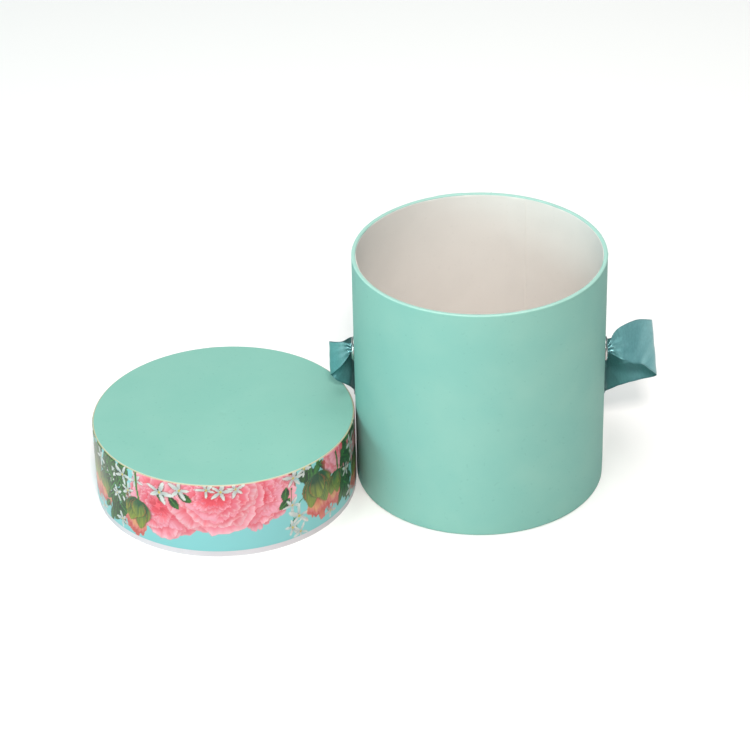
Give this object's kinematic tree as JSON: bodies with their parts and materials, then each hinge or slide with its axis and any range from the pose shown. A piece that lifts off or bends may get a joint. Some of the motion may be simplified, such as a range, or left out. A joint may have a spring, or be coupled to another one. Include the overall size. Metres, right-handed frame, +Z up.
{
  "type": "hat box",
  "caption": "Small round rigid gift box with an open cylindrical body, an overlapping lid lying beside it and a satin ribbon handle through two metal eyelets.",
  "frame": {"origin": "centre of the underside of the body, on the surface that it stands on", "axes": "+Z up, the two eyelets on the X axis with the lid lying on the -X side, the front towards -Y"},
  "size_m": [0.4094, 0.2244, 0.18],
  "materials": {
    "grey_board": "matte pressed board",
    "mint_paper": "satin laminated paper",
    "cream_paper": "matte paper",
    "white_paper": "matte paper",
    "white_board": "white-lined board",
    "floral_print": "glossy printed card with garden flowers",
    "nickel": "polished nickel",
    "satin_ribbon": "double-faced satin"
  },
  "bodies": {
    "box": {"body_tube": "grey_board", "body_wrap": "mint_paper", "body_lining": "cream_paper", "base_disc": "grey_board", "base_lining": "cream_paper", "base_cover": "mint_paper", "eyelet_left": "nickel", "eyelet_right": "nickel", "eyelet_washer_left": "nickel", "eyelet_washer_right": "nickel", "ribbon_knot_left": "satin_ribbon", "ribbon_knot_right": "satin_ribbon"},
    "lid": {"lid_ring_board": "white_board", "lid_top_board": "grey_board", "lid_side_wrap": "floral_print", "lid_top_cover": "mint_paper", "lid_liner": "white_paper", "lid_lining_disc": "white_paper"},
    "handle": {"ribbon_strap": "satin_ribbon"}
  },
  "joints": [
    {"name": "lid_lift", "type": "slide", "parent": "box", "child": "lid", "axis": [-0.7071, 0, 0.7071], "range_m": [0, 0.25]},
    {"name": "handle_swing", "type": "hinge", "parent": "box", "child": "handle", "pos_m": [0, 0, 0.101], "axis": [1, 0, 0], "range_deg": [0, 150]}
  ]
}
